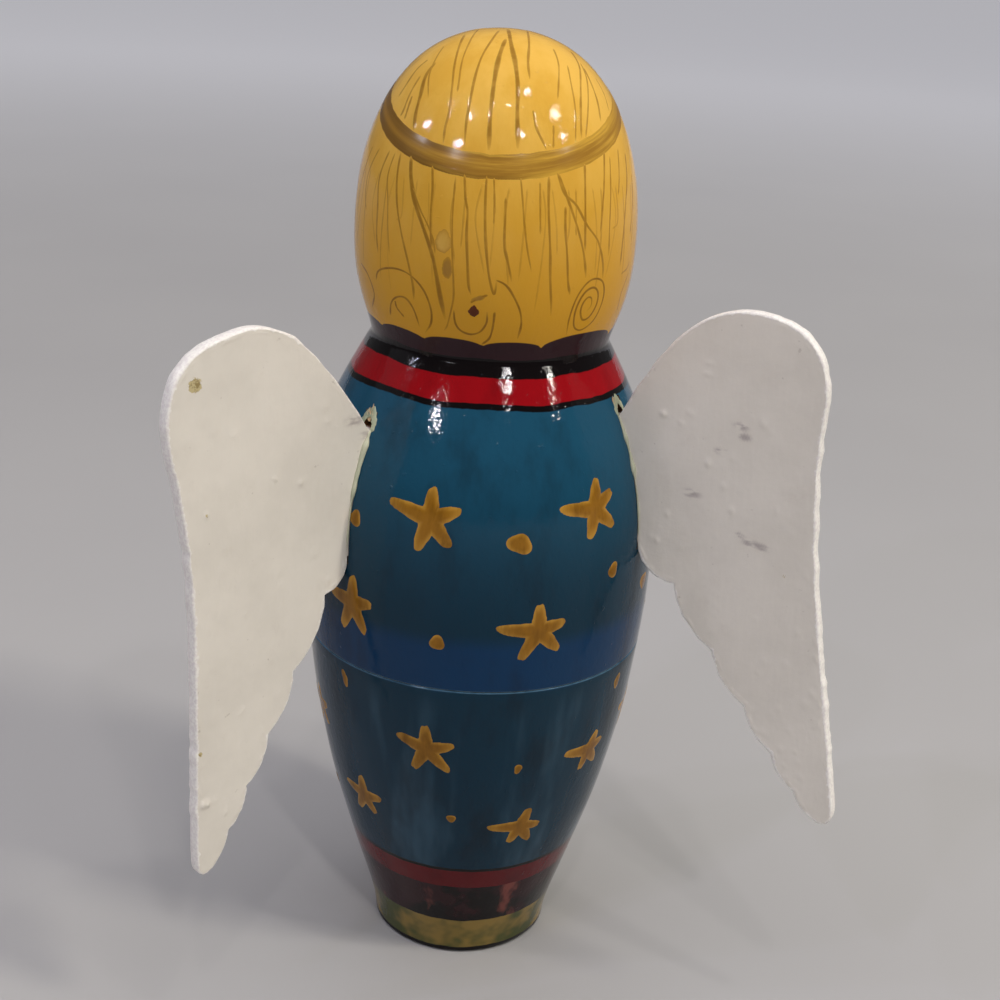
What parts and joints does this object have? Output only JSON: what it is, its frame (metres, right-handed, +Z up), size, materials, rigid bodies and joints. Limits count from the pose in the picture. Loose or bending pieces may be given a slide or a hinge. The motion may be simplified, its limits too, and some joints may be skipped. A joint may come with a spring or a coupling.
{
  "type": "matryoshka doll",
  "caption": "Winged wooden nesting doll: turned, painted halves that pull apart at the belly, smaller dolls inside, and sawn wings glued into the back.",
  "frame": {"origin": "centre of the flat base that the doll stands on", "axes": "+Z up along the turning axis, -Y towards the doll's face, +Y towards its winged back, +X towards its left wing"},
  "size_m": [0.1203, 0.08, 0.18],
  "materials": {
    "outer_lower_paint": "turned wood, painted blue with gold stars, glossy varnish",
    "outer_upper_paint": "turned wood, painted ochre hair, dark neck, red collar and blue robe, glossy varnish",
    "wing_paint": "sawn board, matte white paint, bumpy",
    "wing_glue": "dried glue, pale and satin",
    "second_paint": "turned wood, painted red, glossy varnish",
    "third_paint": "turned wood, painted green, glossy varnish",
    "fourth_paint": "turned wood, painted ochre, glossy varnish",
    "smallest_paint": "turned wood, painted blue, glossy varnish"
  },
  "bodies": {
    "outer_lower": {"outer_lower_half": "outer_lower_paint"},
    "second_lower": {"second_lower_half": "second_paint"},
    "third_lower": {"third_lower_half": "third_paint"},
    "fourth_lower": {"fourth_lower_half": "fourth_paint"},
    "smallest": {"smallest_doll": "smallest_paint"},
    "fourth_upper": {"fourth_upper_half": "fourth_paint"},
    "third_upper": {"third_upper_half": "third_paint"},
    "second_upper": {"second_upper_half": "second_paint"},
    "outer_upper": {"outer_upper_half": "outer_upper_paint", "left_wing": "wing_paint", "right_wing": "wing_paint", "left_wing_glue_back": "wing_glue", "left_wing_glue_front": "wing_glue", "right_wing_glue_back": "wing_glue", "right_wing_glue_front": "wing_glue"}
  },
  "joints": [
    {"name": "second_lower_lift", "type": "slide", "parent": "outer_lower", "child": "second_lower", "axis": [0, 0, 1], "range_m": [0, 0.08]},
    {"name": "third_lower_lift", "type": "slide", "parent": "second_lower", "child": "third_lower", "axis": [0, 0, 1], "range_m": [0, 0.06]},
    {"name": "fourth_lower_lift", "type": "slide", "parent": "third_lower", "child": "fourth_lower", "axis": [0, 0, 1], "range_m": [0, 0.045]},
    {"name": "smallest_lift", "type": "slide", "parent": "fourth_lower", "child": "smallest", "axis": [0, 0, 1], "range_m": [0, 0.035]},
    {"name": "fourth_upper_lift", "type": "slide", "parent": "smallest", "child": "fourth_upper", "axis": [0, 0, 1], "range_m": [0, 0.035]},
    {"name": "third_upper_lift", "type": "slide", "parent": "fourth_upper", "child": "third_upper", "axis": [0, 0, 1], "range_m": [0, 0.046]},
    {"name": "second_upper_lift", "type": "slide", "parent": "third_upper", "child": "second_upper", "axis": [0, 0, 1], "range_m": [0, 0.062]},
    {"name": "outer_upper_lift", "type": "slide", "parent": "second_upper", "child": "outer_upper", "axis": [0, 0, 1], "range_m": [0, 0.11]}
  ]
}
